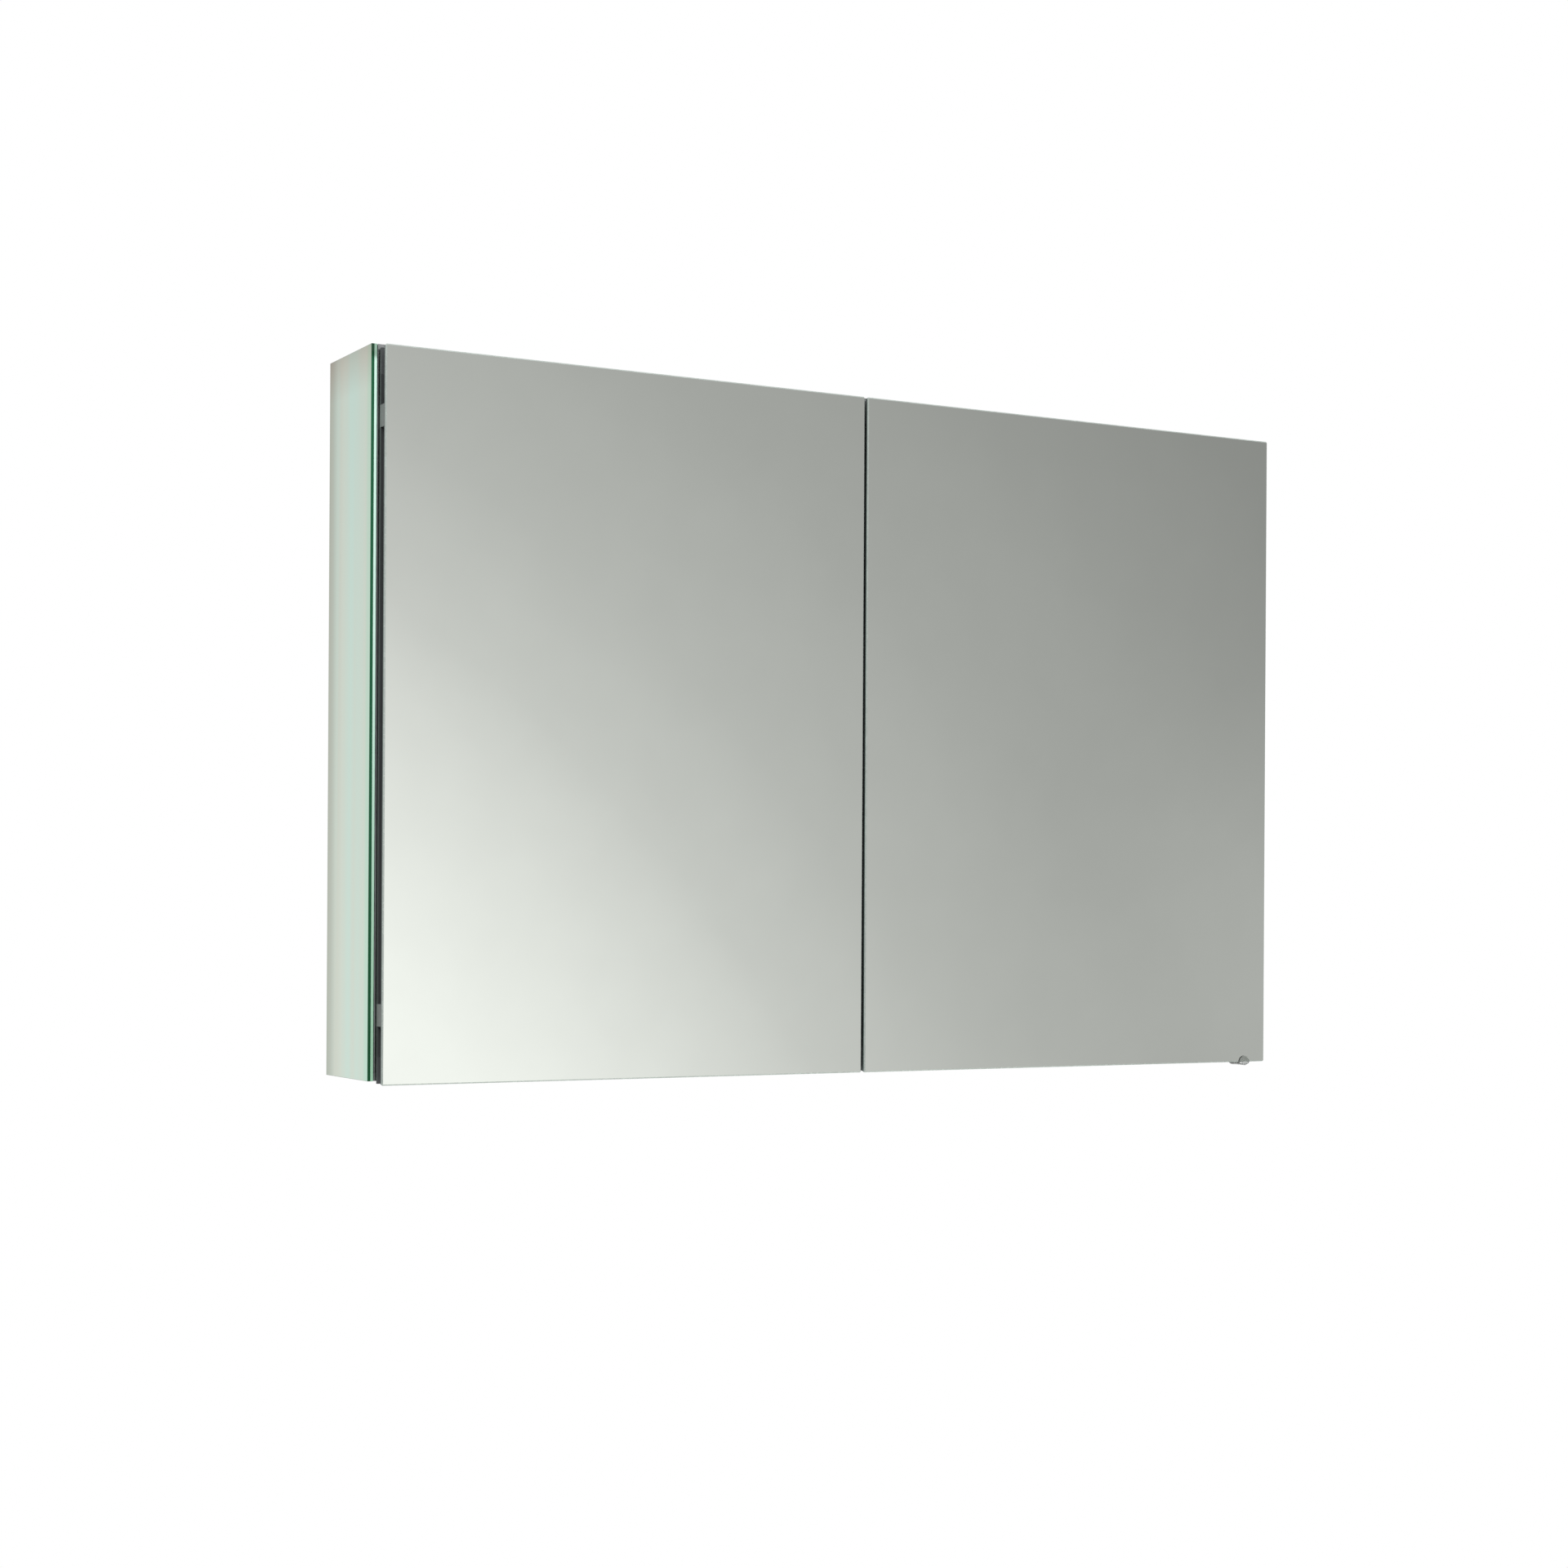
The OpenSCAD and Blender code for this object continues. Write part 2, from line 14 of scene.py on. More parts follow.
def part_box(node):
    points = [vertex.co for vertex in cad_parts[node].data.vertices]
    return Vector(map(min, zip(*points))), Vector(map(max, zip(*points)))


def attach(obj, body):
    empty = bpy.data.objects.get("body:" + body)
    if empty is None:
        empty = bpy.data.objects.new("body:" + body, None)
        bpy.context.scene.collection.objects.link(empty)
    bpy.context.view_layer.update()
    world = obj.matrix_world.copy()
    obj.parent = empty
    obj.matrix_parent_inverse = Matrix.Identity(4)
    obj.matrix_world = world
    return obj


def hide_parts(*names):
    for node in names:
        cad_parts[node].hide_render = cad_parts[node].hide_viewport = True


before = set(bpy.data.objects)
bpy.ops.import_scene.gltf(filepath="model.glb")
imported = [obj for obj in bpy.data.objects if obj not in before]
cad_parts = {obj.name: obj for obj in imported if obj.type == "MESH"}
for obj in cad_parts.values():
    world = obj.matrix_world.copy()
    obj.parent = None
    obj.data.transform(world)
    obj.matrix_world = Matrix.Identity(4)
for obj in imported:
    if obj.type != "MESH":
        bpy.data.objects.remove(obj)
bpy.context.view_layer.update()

bl_info = {
    "name": "Mirrored wall cabinet",
    "version": (1, 0, 0),
    "blender": (4, 5, 0),
    "location": "3D View > Sidebar > Cabinet",
    "description": "Builds the mirrors, frames, fittings and stage of a mirrored wall cabinet",
    "category": "Object",
}

MM = 0.001
SIDES = {"left": -1, "right": 1}
LEVELS = ("upper", "lower")
HINGE_ZS = (-268.0, 265.0)
UP = Vector((0, 0, 1))
FORWARD = Vector((0, -1, 0))

# Edges above the sharp angle are rounded, those below the smooth angle are shaded as one
# surface, and faces within the flat angle are one face. Corners are welded within WELD mm.
SHARP_ANGLE = math.radians(40)
SMOOTH_ANGLE = math.radians(50)
FLAT_ANGLE = math.radians(0.5)
WELD = 0.001

# Nearly all of a noise texture's values lie between these two.
NOISE_LOW = 0.3
NOISE_HIGH = 0.7

FLOAT_GLASS_IOR = 1.52


# ---- colours and materials ----


def linear(code):
    """Linear red, green and blue of an sRGB hex colour."""
    parts = [int(code[i:i + 2], 16) / 255 for i in (1, 3, 5)]
    return tuple(c / 12.92 if c <= 0.04045 else ((c + 0.055) / 1.055) ** 2.4 for c in parts)


def deeper(colour, share):
    """A linear colour darkened to a share of its light."""
    return tuple(c * share for c in colour)


def colours():
    """The colour settings of the scene."""
    return bpy.context.scene.cabinet_colours


def add(tree, kind, inputs=None, stops=None, **settings):
    """Adds a node with its settings; an input is a value or the socket to link to it."""
    made = tree.nodes.new(kind)
    for key, value in settings.items():
        setattr(made, key, value)
    for key, value in (inputs or {}).items():
        if isinstance(value, bpy.types.NodeSocket):
            tree.links.new(value, made.inputs[key])
        else:
            made.inputs[key].default_value = value
    if stops:
        ramp = made.color_ramp.elements
        while len(ramp) < len(stops):
            ramp.new(1.0)
        for element, (position, tint) in zip(ramp, stops):
            element.position = position
            element.color = (*tint, 1.0)
    return made


def new_tree(name):
    """An empty material of that name and its node tree."""
    made = bpy.data.materials.new(name)
    made.use_nodes = True
    made.node_tree.nodes.clear()
    return made, made.node_tree


def close_tree(tree, shader_inputs):
    """Adds the shader with its inputs and the output."""
    shader = add(tree, "ShaderNodeBsdfPrincipled", shader_inputs)
    add(tree, "ShaderNodeOutputMaterial", {"Surface": shader.outputs["BSDF"]})


def times(tree, first, second):
    """The product of two colours."""
    return add(tree, "ShaderNodeVectorMath", {0: first, 1: second},
               operation="MULTIPLY").outputs["Vector"]


def way_along(tree, place, start, end):
    """How far a coordinate lies from a start to an end in mm, from 0 to 1."""
    return add(tree, "ShaderNodeMapRange", {
        "Value": place,
        "From Min": start * MM,
        "From Max": end * MM,
    }).outputs["Result"]


def polish(tree, pattern, smoothest, roughest):
    """A roughness between two values that follows a pattern."""
    return add(tree, "ShaderNodeMapRange", {
        "Value": pattern,
        "To Min": smoothest,
        "To Max": roughest,
    }).outputs["Result"]


def grained(name, light, dark, rough, size, stretch=(1, 1, 1), bump=0.0, detail=3.0, **shader):
    """A material whose two close colours, roughness range and bump follow one noise.

    size is the pattern's size in mm, stretch lengthens it along X, Y and Z, and bump is its
    height in mm.
    """
    made, tree = new_tree(name)
    where = add(tree, "ShaderNodeTexCoord")
    placed = add(tree, "ShaderNodeMapping", {
        "Vector": where.outputs["Object"],
        "Scale": [1 / s for s in stretch],
    })
    grain = add(tree, "ShaderNodeTexNoise", {
        "Vector": placed.outputs["Vector"],
        "Scale": 1 / (size * MM),
        "Detail": detail,
    })
    tone = add(tree, "ShaderNodeValToRGB", {"Fac": grain.outputs["Fac"]},
               stops=[(NOISE_LOW, dark), (NOISE_HIGH, light)])
    roughness = add(tree, "ShaderNodeMapRange", {
        "Value": grain.outputs["Fac"],
        "From Min": NOISE_LOW,
        "From Max": NOISE_HIGH,
        "To Min": rough[0],
        "To Max": rough[1],
    })
    inputs = {"Base Color": tone.outputs["Color"], "Roughness": roughness.outputs["Result"]}
    if bump:
        relief = add(tree, "ShaderNodeBump", {
            "Height": grain.outputs["Fac"],
            "Strength": 1.0,
            "Distance": bump * MM,
        })
        inputs["Normal"] = relief.outputs["Normal"]
    inputs.update({key.replace("_", " "): value for key, value in shader.items()})
    close_tree(tree, inputs)
    return made


def silvered_glass(name):
    """Silvered float glass: mirror-bright, a trace of green, with faint dust in the polish."""
    tint = colours().mirror
    return grained(name, tint, deeper(tint, 0.98), (0.010, 0.022), 60, Metallic=1.0)


def side_silvered_glass(name):
    """Silvered float glass seen along its length: green body tint in faint upright streaks.

    Its first few millimetres are mint, a painted glow of light carried through the glass, and its
    rear and top rims are
    greyer: painted shade at the rear and a painted brownish reflection at the top. The mint and the
    grey are part of the material, so they stay the same from every side.
    """
    made, tree = new_tree(name)
    low, high = span("right_side_mirror")
    where = add(tree, "ShaderNodeTexCoord")
    streak_width = 22
    streak_length = 50
    placed = add(tree, "ShaderNodeMapping", {
        "Vector": where.outputs["Object"],
        "Scale": (1, 1, 1 / streak_length),
    })
    streaks = add(tree, "ShaderNodeTexNoise", {
        "Vector": placed.outputs["Vector"],
        "Scale": 1 / (streak_width * MM),
        "Detail": 1.0,
    })
    tint = add(tree, "ShaderNodeValToRGB", {"Fac": streaks.outputs["Fac"]}, stops=[
        (NOISE_LOW, colours().side_mirror),
        (NOISE_HIGH, colours().side_mirror_streak),
    ])
    axes = add(tree, "ShaderNodeSeparateXYZ", {"Vector": where.outputs["Object"]})
    depth = way_along(tree, axes.outputs["Y"], low.y, high.y)
    height = way_along(tree, axes.outputs["Z"], low.z, high.z)
    # Painted light: the mint front stands for a glow of light carried through the glass, and the
    # greyer rear rim is painted shade.
    mint = tuple(c ** 0.5 for c in colours().side_edge_inner_glow)
    front_glow_and_rear_shade = add(tree, "ShaderNodeValToRGB", {"Fac": depth}, stops=[
        (0.0, mint),
        (0.06, mint),
        (0.12, (1, 1, 1)),
        (0.65, (1, 1, 1)),
        (0.8, (0.95, 0.91, 0.9)),
        (0.9, (0.78, 0.71, 0.69)),
        (1.0, (0.66, 0.63, 0.6)),
    ])
    # Painted reflection: the brownish band along the top rim.
    top = add(tree, "ShaderNodeValToRGB", {"Fac": height}, stops=[
        (0.94, (1, 1, 1)),
        (0.985, (0.88, 0.78, 0.76)),
        (1.0, (0.8, 0.7, 0.68)),
    ])
    rims = times(tree, front_glow_and_rear_shade.outputs["Color"], top.outputs["Color"])
    close_tree(tree, {
        "Base Color": times(tree, tint.outputs["Color"], rims),
        "Roughness": polish(tree, streaks.outputs["Fac"], 0.02, 0.04),
        "Metallic": 1.0,
    })
    return made


def mirror_paint(name):
    """Grey protective paint rolled over the silvering: matt, with a fine orange peel."""
    paint = colours().mirror_back
    return grained(name, paint, deeper(paint, 0.78), (0.45, 0.6), 4, bump=0.05)


def door_glass_edge(name):
    """Ground and polished float glass edge: dark grey-green, bright where it is smoothest."""
    glass = colours().mirror_edge
    return grained(name, glass, deeper(glass, 0.6), (0.08, 0.2), 9, stretch=(1, 1, 4),
                   bump=0.01, IOR=FLOAT_GLASS_IOR)


def ground_arris(name):
    """Fine-ground chamfer round a mirror's face: pale, soft and half mirror, half frosted."""
    glass = colours().arris
    return grained(name, glass, deeper(glass, 0.85), (0.2, 0.32), 5, bump=0.01, Metallic=0.5,
                   IOR=FLOAT_GLASS_IOR)


def side_glass_edge(name):
    """Polished edge of the thick side glass: deep green outside, mint towards the silvering,
    where the mint is a painted glow of light carried through the glass.

    Both are duller at the top end and towards the bottom, which is painted shade. That is part of
    the material, so it stays the same from every side.
    """
    made, tree = new_tree(name)
    low, high = span("right_side_mirror")
    green = tuple(colours().side_edge_outer)
    mint = tuple(colours().side_edge_inner_glow)
    where = add(tree, "ShaderNodeTexCoord")
    axes = add(tree, "ShaderNodeSeparateXYZ", {"Vector": where.outputs["Object"]})
    outward = add(tree, "ShaderNodeMath", {0: axes.outputs["X"]}, operation="ABSOLUTE")
    across = way_along(tree, outward.outputs["Value"], low.x, high.x)
    height = way_along(tree, axes.outputs["Z"], low.z, high.z)
    # Painted glow: the mint inner half stands for light carried through the glass; the deep green
    # outer half is the glass's tint.
    body = add(tree, "ShaderNodeValToRGB", {"Fac": across}, stops=[
        (0.0, mint),
        (0.46, mint),
        (0.52, green),
        (1.0, green),
    ])
    # Painted shade: the edge is darker at the top end and towards the bottom.
    light = add(tree, "ShaderNodeValToRGB", {"Fac": height}, stops=[
        (0.0, (0.5, 0.62, 0.5)),
        (0.25, (0.65, 0.74, 0.65)),
        (0.6, (1, 1, 1)),
        (0.978, (1, 1, 1)),
        (0.985, (0.4, 0.45, 0.4)),
    ])
    swirl_size = 6
    swirls = add(tree, "ShaderNodeTexNoise", {
        "Vector": where.outputs["Object"],
        "Scale": 1 / (swirl_size * MM),
        "Detail": 2.0,
    })
    close_tree(tree, {
        "Base Color": times(tree, body.outputs["Color"], light.outputs["Color"]),
        "Roughness": polish(tree, swirls.outputs["Fac"], 0.06, 0.2),
        "IOR": FLOAT_GLASS_IOR,
    })
    return made


def satin_aluminium(name):
    """Anodised extrusion: pale satin metal with fine draw lines along the upright profile.

    The real lines are about 0.3 mm apart and are drawn 3 mm apart, so that they show.
    """
    metal = colours().case
    return grained(name, metal, deeper(metal, 0.87), (0.26, 0.38), 3, stretch=(1, 1, 80),
                   bump=0.01, Metallic=1.0)


def satin_aluminium_level(name):
    """The same anodised extrusion with its draw lines along X."""
    metal = colours().case
    return grained(name, metal, deeper(metal, 0.87), (0.26, 0.38), 3, stretch=(80, 1, 1),
                   bump=0.01, Metallic=1.0)


def shade_painted_aluminium(name):
    """Anodised aluminium door profile, its dark grey painted shade along the doors' edges: matt over
    metal, with fine upright draw lines.
    """
    metal = colours().door_frame
    return grained(name, metal, deeper(metal, 0.8), (0.4, 0.52), 2.5, stretch=(1, 1, 80),
                   bump=0.01, Metallic=0.5)


def shade_painted_aluminium_level(name):
    """The same door profile, its dark grey painted shade, with its draw lines along X."""
    metal = colours().door_frame
    return grained(name, metal, deeper(metal, 0.8), (0.4, 0.52), 2.5, stretch=(80, 1, 1),
                   bump=0.01, Metallic=0.5)


def moulded_nylon(name):
    """Injection-moulded grey nylon: soft sheen over a fine spark-eroded grain."""
    nylon = colours().corner_blocks
    return grained(name, nylon, deeper(nylon, 0.8), (0.42, 0.55), 0.9, bump=0.03, IOR=1.53)


def moulded_white(name):
    """Injection-moulded white polythene: a waxy sheen over a fine grain."""
    white = colours().bushes
    return grained(name, white, deeper(white, 0.9), (0.38, 0.5), 1.2, bump=0.02, IOR=1.51)


def moulded_clear(name):
    """Injection-moulded clear acrylic: nearly colourless, slightly hazed by handling."""
    clear = colours().clear_parts
    return grained(name, clear, deeper(clear, 0.9), (0.05, 0.14), 3, bump=0.01, IOR=1.49,
                   Transmission_Weight=0.95)


def tempered_glass(name):
    """Float glass, heated and quenched: clear and colourless through its faces, faintly wiped."""
    glass = colours().shelf
    return grained(name, glass, deeper(glass, 0.97), (0.0, 0.015), 50, IOR=FLOAT_GLASS_IOR,
                   Transmission_Weight=1.0)


def shelf_glass_edge(name):
    """Polished edge of a clear glass shelf: sea green, where light runs along the pane."""
    glass = colours().shelf_edge
    return grained(name, glass, deeper(glass, 0.7), (0.06, 0.16), 12, bump=0.01, IOR=FLOAT_GLASS_IOR,
                   Transmission_Weight=0.35)


def cast_zinc(name):
    """Nickel-plated die-cast zinc: warm silver, slightly pebbled by the casting."""
    metal = colours().hinge_castings
    return grained(name, metal, deeper(metal, 0.8), (0.36, 0.5), 3.5, bump=0.015, Metallic=1.0)


def blasted_zinc(name):
    """Bead-blasted zinc of the hinge boxes: dull grey, hardly reflecting what is near."""
    metal = colours().hinge_boxes
    return grained(name, metal, deeper(metal, 0.85), (0.5, 0.62), 2.2, bump=0.02, Metallic=0.4)


def pressed_steel(name):
    """Nickel-plated pressed steel: bright and smooth, with faint drawing marks."""
    metal = colours().hinge_arms
    return grained(name, metal, deeper(metal, 0.82), (0.16, 0.3), 3, stretch=(1, 8, 1), bump=0.01,
                   Metallic=1.0)


def zinc_plated_steel(name):
    """Zinc-plated steel fasteners: pale, a little blue, cloudy from the bath."""
    metal = colours().fasteners
    return grained(name, metal, deeper(metal, 0.75), (0.2, 0.36), 1.6, bump=0.01, Metallic=1.0)


def blackened_steel(name):
    """Black-passivated screws: near-black metal with a soft shine."""
    metal = colours().dark_screws
    return grained(name, metal, deeper(metal, 0.6), (0.3, 0.42), 1.4, bump=0.01, Metallic=1.0)


def foam_strip(name):
    """Dark polythene foam tape: matt, open-pored at its cut edge."""
    foam = colours().tape
    return grained(name, foam, deeper(foam, 0.5), (0.85, 0.95), 1.5, bump=0.25, detail=5.0)


def galvanised_sheet(name):
    """Hot-dip galvanised steel sheet: flat crystals of pale and darker zinc, about 12 mm."""
    zinc = colours().back_sheet
    made, tree = new_tree(name)
    where = add(tree, "ShaderNodeTexCoord")
    crystal_size = 12
    crystals = add(tree, "ShaderNodeTexVoronoi", {
        "Vector": where.outputs["Object"],
        "Scale": 1 / (crystal_size * MM),
    })
    shade = add(tree, "ShaderNodeSeparateColor", {"Color": crystals.outputs["Color"]})
    tone = add(tree, "ShaderNodeValToRGB", {"Fac": shade.outputs["Red"]},
               stops=[(0.0, deeper(zinc, 0.7)), (1.0, zinc)])
    relief = add(tree, "ShaderNodeBump", {
        "Height": crystals.outputs["Distance"],
        "Strength": 1.0,
        "Distance": 0.02 * MM,
    })
    close_tree(tree, {
        "Base Color": tone.outputs["Color"],
        "Roughness": polish(tree, shade.outputs["Green"], 0.3, 0.5),
        "Metallic": 1.0,
        "Normal": relief.outputs["Normal"],
    })
    return made


def of_finish(maker):
    """The material that a maker makes, made when it is first asked for.

    No maker has the name of one of the CAD's own flat materials, which would be found instead.
    """
    name = maker.__name__
    return bpy.data.materials.get(name) or maker(name)


MIRROR_FINISHES = (silvered_glass, mirror_paint, door_glass_edge, ground_arris)
SIDE_MIRROR_FINISHES = (side_silvered_glass, mirror_paint, side_glass_edge, side_glass_edge)


# ---- shapes ----


def span(node):
    """Lowest and highest corner of a CAD node, in mm."""
    low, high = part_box(node)
    return low / MM, high / MM


def ease_edges(bm, radius, segments=2, shortest=1.2):
    """Rounds a bmesh's sharp edges, apart from very short ones."""
    sharp = [
        e for e in bm.edges
        if len(e.link_faces) == 2
        and e.calc_face_angle() > SHARP_ANGLE
        and e.calc_length() > shortest
    ]
    bmesh.ops.bevel(bm, geom=sharp, offset=radius, offset_type="OFFSET", segments=segments,
                    profile=0.5, affect="EDGES", clamp_overlap=True, material=-1)


def slab(low, high, arris):
    """A plate from its low to its high corner, with ground arrises."""
    bm = bmesh.new()
    bmesh.ops.create_cube(bm, size=1.0)
    bmesh.ops.scale(bm, vec=high - low, verts=bm.verts)
    bmesh.ops.translate(bm, vec=(low + high) / 2, verts=bm.verts)
    ease_edges(bm, arris, segments=1)
    return bm


def from_cad(node, radius, segments=2, shortest=1.2):
    """A CAD node's shape in mm, its flat faces made whole and its sharp edges rounded."""
    bm = bmesh.new()
    bm.from_mesh(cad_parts[node].data)
    bm.transform(Matrix.Scale(1 / MM, 4))
    bmesh.ops.remove_doubles(bm, verts=bm.verts, dist=WELD)
    bmesh.ops.dissolve_limit(bm, angle_limit=FLAT_ANGLE, verts=bm.verts, edges=bm.edges,
                             use_dissolve_boundaries=False)
    ease_edges(bm, radius, segments, shortest)
    return bm


def turned(profile, steps=32, ring=False):
    """A shape turned about Z from points of radius and height; ring closes the profile."""
    bm = bmesh.new()
    points = [bm.verts.new((radius, 0, height)) for radius, height in profile]
    pairs = list(zip(points, points[1:]))
    if ring:
        pairs.append((points[-1], points[0]))
    lines = [bm.edges.new(pair) for pair in pairs]
    bmesh.ops.spin(bm, geom=points + lines, cent=(0, 0, 0), axis=UP, angle=math.tau,
                   steps=steps, use_merge=True)
    bmesh.ops.remove_doubles(bm, verts=bm.verts, dist=WELD)
    bmesh.ops.recalc_face_normals(bm, faces=bm.faces)
    return bm


def cross_screw(head_r, head_t, shank_r, length, domed=True):
    """A cross-recess screw along Z: its head above z = 0, and its shank below."""
    ring_steps = 24
    cross_r = head_r * 0.62
    recess = head_t * 0.7
    recess_taper = 0.6
    if domed:
        crown, shoulder, shoulder_height, rim_height = (0.78, 0.94, 0.776, 0.45)
    else:
        crown, shoulder, shoulder_height, rim_height = (0.9, 0.97, 0.93, 0.85)
    bm = bmesh.new()
    bmesh.ops.create_grid(bm, x_segments=3, y_segments=3, size=cross_r)
    corners = [f for f in bm.faces if min(abs(f.calc_center_median().x),
                                          abs(f.calc_center_median().y)) > cross_r / 3]
    bmesh.ops.delete(bm, geom=corners, context="FACES")
    bmesh.ops.translate(bm, vec=(0, 0, head_t), verts=bm.verts)
    sunk = bmesh.ops.extrude_face_region(bm, geom=bm.faces[:])
    floor = [v for v in sunk["geom"] if isinstance(v, bmesh.types.BMVert)]
    bmesh.ops.scale(bm, vec=(recess_taper, recess_taper, 1), verts=floor)
    bmesh.ops.translate(bm, vec=(0, 0, -recess), verts=floor)
    mouth = [e for e in bm.edges if e.is_boundary]
    bmesh.ops.subdivide_edges(bm, edges=mouth, cuts=1)
    mouth = [e for e in bm.edges if e.is_boundary]
    rings = [
        (head_r * crown, head_t),
        (head_r * shoulder, head_t * shoulder_height),
        (head_r, head_t * rim_height),
        (head_r, 0),
        (shank_r, 0),
        (shank_r, -length + shank_r),
        (shank_r * 0.3, -length),
    ]
    loops = []
    for radius, height in rings:
        made = bmesh.ops.create_circle(bm, radius=radius, segments=ring_steps)
        bmesh.ops.translate(bm, vec=(0, 0, height), verts=made["verts"])
        loops.append(list({e for v in made["verts"] for e in v.link_edges}))
    for first, second in zip([mouth] + loops, loops):
        bmesh.ops.bridge_loops(bm, edges=first + second)
    bmesh.ops.holes_fill(bm, edges=[e for e in bm.edges if e.is_boundary])
    bmesh.ops.recalc_face_normals(bm, faces=bm.faces)
    return bm


def gather(pattern, places):
    """Copies of a bmesh at several places, as one bmesh. The pattern is used up."""
    held = bpy.data.meshes.new("pattern")
    pattern.to_mesh(held)
    pattern.free()
    bm = bmesh.new()
    for place in places:
        before = len(bm.verts)
        bm.from_mesh(held)
        bm.verts.ensure_lookup_table()
        bmesh.ops.transform(bm, matrix=place, verts=bm.verts[before:])
    bpy.data.meshes.remove(held)
    bmesh.ops.recalc_face_normals(bm, faces=bm.faces)
    return bm


def join(*parts):
    """Several bmeshes as one. The parts are used up."""
    bm = bmesh.new()
    for part in parts:
        held = bpy.data.meshes.new("part")
        part.to_mesh(held)
        part.free()
        bm.from_mesh(held)
        bpy.data.meshes.remove(held)
    return bm


def pointing(direction, at):
    """A placement that turns Z to a direction and moves the origin to a point, in mm."""
    turn = Vector(direction).to_track_quat("Z", "Y").to_matrix().to_4x4()
    return Matrix.Translation(at) @ turn


def face_mirror(bm, silver_side):
    """Gives a plate its silver face, painted back, polished edges and ground arrises.

    They are finishes 0, 1, 2 and 3. The arrises round the back take the edges' finish.
    """
    straight_on = 0.9
    slanting = 0.5
    for face in bm.faces:
        facing = face.normal.dot(silver_side)
        if facing > straight_on:
            face.material_index = 0
        elif facing < -straight_on:
            face.material_index = 1
        elif facing < slanting:
            face.material_index = 2
        else:
            face.material_index = 3


def place_piece(bm, name, body, nodes, makers, rounded=True):
    """Makes a bmesh in mm a piece that rides on a body and stands for CAD nodes."""
    bm.transform(Matrix.Scale(MM, 4))
    for face in bm.faces:
        face.smooth = rounded
    for edge in bm.edges:
        edge.smooth = len(edge.link_faces) == 2 and edge.calc_face_angle() < SMOOTH_ANGLE
    mesh = bpy.data.meshes.new(name)
    bm.to_mesh(mesh)
    bm.free()
    piece = bpy.data.objects.new(name, mesh)
    bpy.context.scene.collection.objects.link(piece)
    for maker in makers:
        mesh.materials.append(of_finish(maker))
    if rounded:
        evener = piece.modifiers.new("even_shading", "WEIGHTED_NORMAL")
        evener.keep_sharp = True
        evener.weight = 100
    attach(piece, body)
    if nodes:
        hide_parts(*nodes)
    return piece


def dress(node, maker):
    """Gives a carried-over CAD node its finish."""
    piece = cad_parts[node]
    if not piece.material_slots:
        piece.data.materials.append(None)
    for place in piece.material_slots:
        place.material = of_finish(maker)


# ---- settings ----


def colour(name, code, description):
    """A colour setting whose default is an sRGB hex code."""
    return FloatVectorProperty(name=name, description=description, subtype="COLOR",
                               default=linear(code), min=0.0, max=1.0)


class CabinetColours(bpy.types.PropertyGroup):
    """Colours of the finishes."""

    mirror: colour("Mirror", "#f4f8f1", "Tint of the doors' mirrors and the inner mirror")
    mirror_edge: colour("Mirror edge", "#6c7d76", "Ground edge of the doors' mirrors")
    arris: colour("Arris", "#c9d2cc", "Ground chamfers round the doors' mirrors")
    mirror_back: colour("Mirror back", "#8e959a", "Paint on the back of the mirrors")
    side_mirror: colour("Side mirror", "#cde6da", "Tint of the mirrors on the case's sides")
    side_mirror_streak: colour("Side streaks", "#d5dfd1", "Streaks in the side mirrors' tint")
    side_edge_outer: colour("Side edge, outer", "#286143", "Outer half of the side glass's edge")
    # The inner half's mint is a painted glow of light carried through the glass.
    side_edge_inner_glow: colour("Side edge, inner", "#dcfff0", "Inner half of the side glass's edge")
    shelf: colour("Shelf", "#f8fdfa", "Glass of the shelves")
    shelf_edge: colour("Shelf edge", "#a5d6bd", "Polished edge of the shelves")
    case: colour("Case", "#d3d5d6", "Anodised aluminium of the case and its rails")
    # The door frame's dark grey is painted shade along the doors' edges.
    door_frame: colour("Door frame", "#5a5d5e", "Dark anodised aluminium of the door profiles")
    corner_blocks: colour("Corner blocks", "#525556", "Nylon of the doors' corner blocks")
    bushes: colour("Bushes", "#f1f1ee", "Plastic of the wall-screw bushes")
    clear_parts: colour("Clear parts", "#e8eae8", "Plastic of the door stops and the clip")
    hinge_castings: colour("Hinge castings", "#c9c5bd", "Plated zinc of the hinges")
    hinge_boxes: colour("Hinge boxes", "#8b8d8c", "Blasted zinc of the boxes in the doors")
    hinge_arms: colour("Hinge arms", "#cdcfd0", "Plated steel of the hinge arms")
    fasteners: colour("Fasteners", "#c5cacf", "Zinc-plated screws, rivets and pins")
    dark_screws: colour("Dark screws", "#3a3b3d", "Screws in the doors")
    back_sheet: colour("Back sheet", "#c6cacd", "Galvanised steel of the back")
    tape: colour("Tape", "#55575a", "Foam tape behind the side mirrors")


class CabinetGlass(bpy.types.PropertyGroup):
    """Sizes of the mirrors' and shelves' edges."""

    front_arris: FloatProperty(
        name="Door arris", description="Width ground off the edges of the doors' front mirrors",
        default=1.2 * MM, min=0.2 * MM, max=1.5 * MM, unit="LENGTH")
    back_arris: FloatProperty(
        name="Inner arris", description="Width ground off the edges of the mirrors inside",
        default=0.5 * MM, min=0.2 * MM, max=1.2 * MM, unit="LENGTH")
    side_arris: FloatProperty(
        name="Side arris", description="Width ground off the edges of the side mirrors",
        default=0.3 * MM, min=0.2 * MM, max=1.5 * MM, unit="LENGTH")
    shelf_arris: FloatProperty(
        name="Shelf arris", description="Width ground off the edges of the glass shelves",
        default=0.8 * MM, min=0.2 * MM, max=2.0 * MM, unit="LENGTH")


